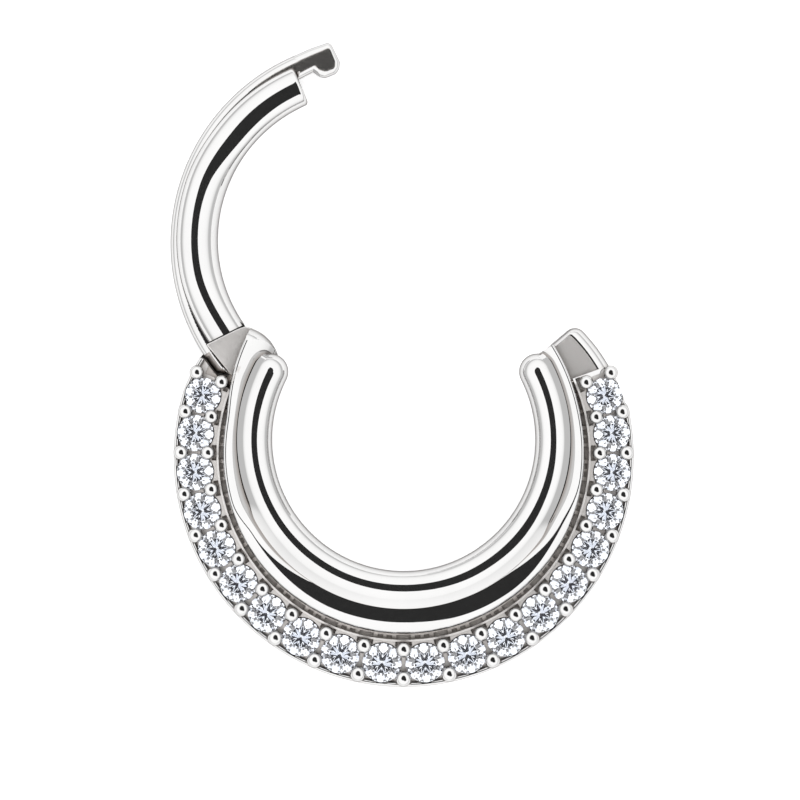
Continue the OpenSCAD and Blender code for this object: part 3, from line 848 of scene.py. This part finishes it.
# The recess metal is rougher, which is its real finish; its browner tone and very dark corners are painted
# shade for the deep faces
recess_with_painted_shade = metal("recess_metal", (0.66, 0.62, 0.59), (0.12, 0.10, 0.085), 0.48, 0.06, 0.004)
brushed = metal("brushed_metal", (0.55, 0.53, 0.51), (0.20, 0.17, 0.15), 0.20, 0.04, 0.001)


def finish_piece(obj, body, node, materials, pick):
    """Turns a piece to metres, smooths its round faces and gives each face its material."""
    mesh = obj.data
    mesh.materials.clear()
    for m in materials:
        mesh.materials.append(m)
    for face in mesh.polygons:
        face.material_index = pick(face.center, face.normal)
    mesh.transform(Matrix.Scale(MM, 4))
    mesh.shade_smooth()
    mesh.set_sharp_from_angle(angle=math.radians(SHARP_FROM_A))
    even = obj.modifiers.new("even_normals", "WEIGHTED_NORMAL")
    even.keep_sharp = True
    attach(obj, body)
    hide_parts(node)


POLISHED, SATIN, RECESS_PAINTED_SHADE = 0, 1, 2
FACES_UP, FACES_ASIDE = 0.8, 0.95
DECK_OVER, DECK_OUT_R = 0.11, 6
SEAT_FROM_Z, SEAT_IN_R, SEAT_OUT_R, SEAT_WALL = 0.2, PLATE_IN_R + 0.08, ROW_R + 0.6, 0.03


def pick_ring(c, n):
    """Satin for the flat faces and around the stones, the recess metal with its painted shade for what lies
    deep, and polished elsewhere.
    """
    a = math.degrees(math.atan2(c.y, c.x)) % 360
    centre_r, r = Vector((c.x, c.y)).length, Vector((c.x, c.y + ROW_DROP)).length
    up = n.z > FACES_UP
    if n.z > 0.999 and abs(c.z - PANEL_TOP) < 0.001 and a < 90:
        return SATIN
    if n.z > FACES_ASIDE and abs(c.z - CHEEK_TOP) < 0.005 and 90 < a < 180:
        return SATIN
    beside_row = up and c.z < PANEL_TOP and centre_r > PLATE_IN_R - 0.04
    if BLOCK_FROM_A - 1 < a < BLOCK_FROM_A + BLOCK_OVERLAP_A and beside_row:
        return SATIN
    if BLOCK_FROM_A + 0.5 < a < LEFT_PLATE_A - 2:
        return POLISHED
    on_plate = abs(c.z - row_height(r) + PLATE_UNDER) < 0.012 and r > PLATE_IN_R + RIDGE_W - 0.01
    on_ridge = PLATE_IN_R < r < PLATE_IN_R + RIDGE_W
    if up and (on_plate or on_ridge):
        return SATIN
    # The deck and the seat walls under the plate get the recess metal, whose browner tone and dark corners
    # are painted shade
    if up and c.z < DECK_Z + DECK_OVER and r < DECK_OUT_R:
        return RECESS_PAINTED_SHADE
    under_plate = SEAT_FROM_Z < c.z < row_height(r) - PLATE_UNDER and abs(n.z) < FACES_ASIDE
    if under_plate and SEAT_IN_R < r < SEAT_OUT_R and centre_r < outer_radius(a) - SEAT_WALL:
        return RECESS_PAINTED_SHADE
    return POLISHED


def pick_bar(c, n):
    """Brushed, the second one, for the hook's flat face."""
    return 1 if n.z > 0.99 and c.y > HOOK_FROM_Y and abs(c.z - PLATE_Z1) < 0.005 else POLISHED


def finish_stone(i, node, material):
    """The stone's own cut, turned to the gentler tilt that the row shows from the front."""
    obj = bpy.data.objects.new(f"crystal_{i + 1:02d}", node.data.copy())
    bpy.context.scene.collection.objects.link(obj)
    turn = row_frame(STONE_A[i]) @ row_frame(STONE_A[i], 0, PLATE_TILT).inverted()
    obj.data.transform(Matrix.Scale(MM, 4) @ turn @ Matrix.Scale(1 / MM, 4) @ node.matrix_world)
    obj.data.materials.clear()
    obj.data.materials.append(material)
    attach(obj, "ring")
    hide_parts(node.name)


ring = make_ring()
ring.name = "ring_polished"
finish_piece(ring, "ring", "ring_body", (polished, satin, recess_with_painted_shade), pick_ring)
bar = make_bar()
bar.name = "bar_polished"
finish_piece(bar, "bar", "hinge_bar", (polished, brushed), pick_bar)
gem = clear_stone()
for i in range(STONE_N):
    finish_stone(i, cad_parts[f"stone_{i + 1:02d}"], gem)
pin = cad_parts["hinge_pin"]
pin.data.materials.clear()
pin.data.materials.append(polished)


# Stage

PX_PER_MM = 36.7
IMAGE_PX = 800
HOLE_PX = (403.7, 439.4)
CAMERA_DIST = 220.0
FACE_Z = 1.2
SENSOR = 36.0
CLIP = (0.001, 10)
FLOOR_HALF, FLOOR_UNDER, FLOOR_TONE, FLOOR_ROUGH, FLOOR_GLOW = 2000, 0.02, 0.80, 0.6, 0.35


def add_camera():
    """A camera straight above, set back so far that it is nearly without perspective."""
    data = bpy.data.cameras.new("camera")
    data.sensor_width = SENSOR
    data.lens = SENSOR * CAMERA_DIST * PX_PER_MM / IMAGE_PX
    data.clip_start, data.clip_end = CLIP
    camera = bpy.data.objects.new("camera", data)
    x = (IMAGE_PX / 2 - HOLE_PX[0]) / PX_PER_MM
    y = (HOLE_PX[1] - IMAGE_PX / 2) / PX_PER_MM
    camera.location = (x * MM, y * MM, (FACE_Z + CAMERA_DIST) * MM)
    bpy.context.scene.collection.objects.link(camera)
    bpy.context.scene.camera = camera
    return camera


def add_floor():
    bm = bmesh.new()
    s = FLOOR_HALF * MM
    bm.faces.new([bm.verts.new(p) for p in ((-s, -s, 0), (s, -s, 0), (s, s, 0), (-s, s, 0))])
    floor = new_object("floor", bm)
    m, tree, shader = new_material("floor")
    shader.inputs["Base Color"].default_value = (FLOOR_TONE, FLOOR_TONE, FLOOR_TONE, 1)
    shader.inputs["Roughness"].default_value = FLOOR_ROUGH
    shader.inputs["Emission Color"].default_value = (1, 1, 1, 1)
    shader.inputs["Emission Strength"].default_value = FLOOR_GLOW
    floor.data.materials.append(m)
    floor.location.z = -FLOOR_UNDER * MM


# How far the metal's dark card reaches from straight above, in degrees, towards each azimuth
CARD_REACH = [(0, 19), (30, 22), (60, 26), (90, 28), (120, 22), (150, 18), (180, 17), (210, 17),
              (240, 16), (270, 15), (300, 26), (320, 32), (340, 25), (360, 19)]
METAL_CARD_UP, METAL_CARD_TONE = 2, (0.025, 0.025, 0.025)

# Cards for the stones: height above the camera, reach in degrees, colour
STONE_CARDS = ((4, 15, (0.05, 0.05, 0.055)), (6, 19, (0.72, 0.74, 0.78)))


def add_card(name, camera, height, reach, colour):
    """A card above the camera; reach gives its angle from straight above towards each azimuth."""
    bm = bmesh.new()
    rim = []
    for a in range(0, 360, 3):
        p = polar(height * math.tan(math.radians(reach(a))), a) * MM
        rim.append(bm.verts.new((camera.location.x + p.x, camera.location.y + p.y, (FACE_Z + height) * MM)))
    bm.faces.new(rim)
    card = new_object(name, bm)
    m, tree, shader = new_material(name)
    shader.inputs["Base Color"].default_value = (*colour, 1)
    shader.inputs["Roughness"].default_value = 1.0
    shader.inputs["Specular IOR Level"].default_value = 0.0
    card.data.materials.append(m)
    card.visible_diffuse = False
    card.visible_shadow = False
    return card


def add_cards(camera):
    """One card for the metal's crisp dark bands, and a dark one before a pale grey one for the stones."""
    for_metal = add_card("metal_card", camera, CAMERA_DIST + METAL_CARD_UP,
                         lambda a: between(CARD_REACH, a), METAL_CARD_TONE)
    for_metal.visible_transmission = False
    for height, reach, colour in STONE_CARDS:
        for_stones = add_card(f"stone_card_{reach}", camera, CAMERA_DIST + height, lambda a: reach, colour)
        for_stones.visible_glossy = False


# Studio light: its strength, how much less it is from the sides, and its tone by height above the horizon
LIGHT, SIDE_LESS = 1.62, 0.25
TONES = ((0.0, 0.46), (0.10, 0.83), (0.35, 1.0))


def add_light():
    """A studio of soft light: grey at the horizon, white overhead, a little less from the sides."""
    world = bpy.data.worlds.new("studio")
    bpy.context.scene.world = world
    world.use_nodes = True
    tree = world.node_tree
    back = tree.nodes["Background"]
    place = tree.nodes.new("ShaderNodeTexCoord")
    axes = tree.nodes.new("ShaderNodeSeparateXYZ")
    tree.links.new(place.outputs["Generated"], axes.inputs[0])
    side = tree.nodes.new("ShaderNodeMath")
    side.operation = "ABSOLUTE"
    tree.links.new(axes.outputs["X"], side.inputs[0])
    height = tree.nodes.new("ShaderNodeMath")
    height.operation = "MULTIPLY_ADD"
    tree.links.new(side.outputs[0], height.inputs[0])
    height.inputs[1].default_value = -SIDE_LESS
    tree.links.new(axes.outputs["Z"], height.inputs[2])
    ramp = tree.nodes.new("ShaderNodeValToRGB")
    ramp.color_ramp.interpolation = "B_SPLINE"
    stops = ramp.color_ramp.elements
    first, middle, last = TONES
    stops[0].position, stops[0].color = first[0], (first[1], first[1], first[1], 1)
    stops[1].position, stops[1].color = last[0], (last[1], last[1], last[1], 1)
    stops.new(middle[0]).color = (middle[1], middle[1], middle[1], 1)
    tree.links.new(height.outputs[0], ramp.inputs["Fac"])
    tree.links.new(ramp.outputs["Color"], back.inputs["Color"])
    back.inputs["Strength"].default_value = LIGHT


camera = add_camera()
add_floor()
add_cards(camera)
add_light()
bpy.context.scene.view_settings.view_transform = "Standard"
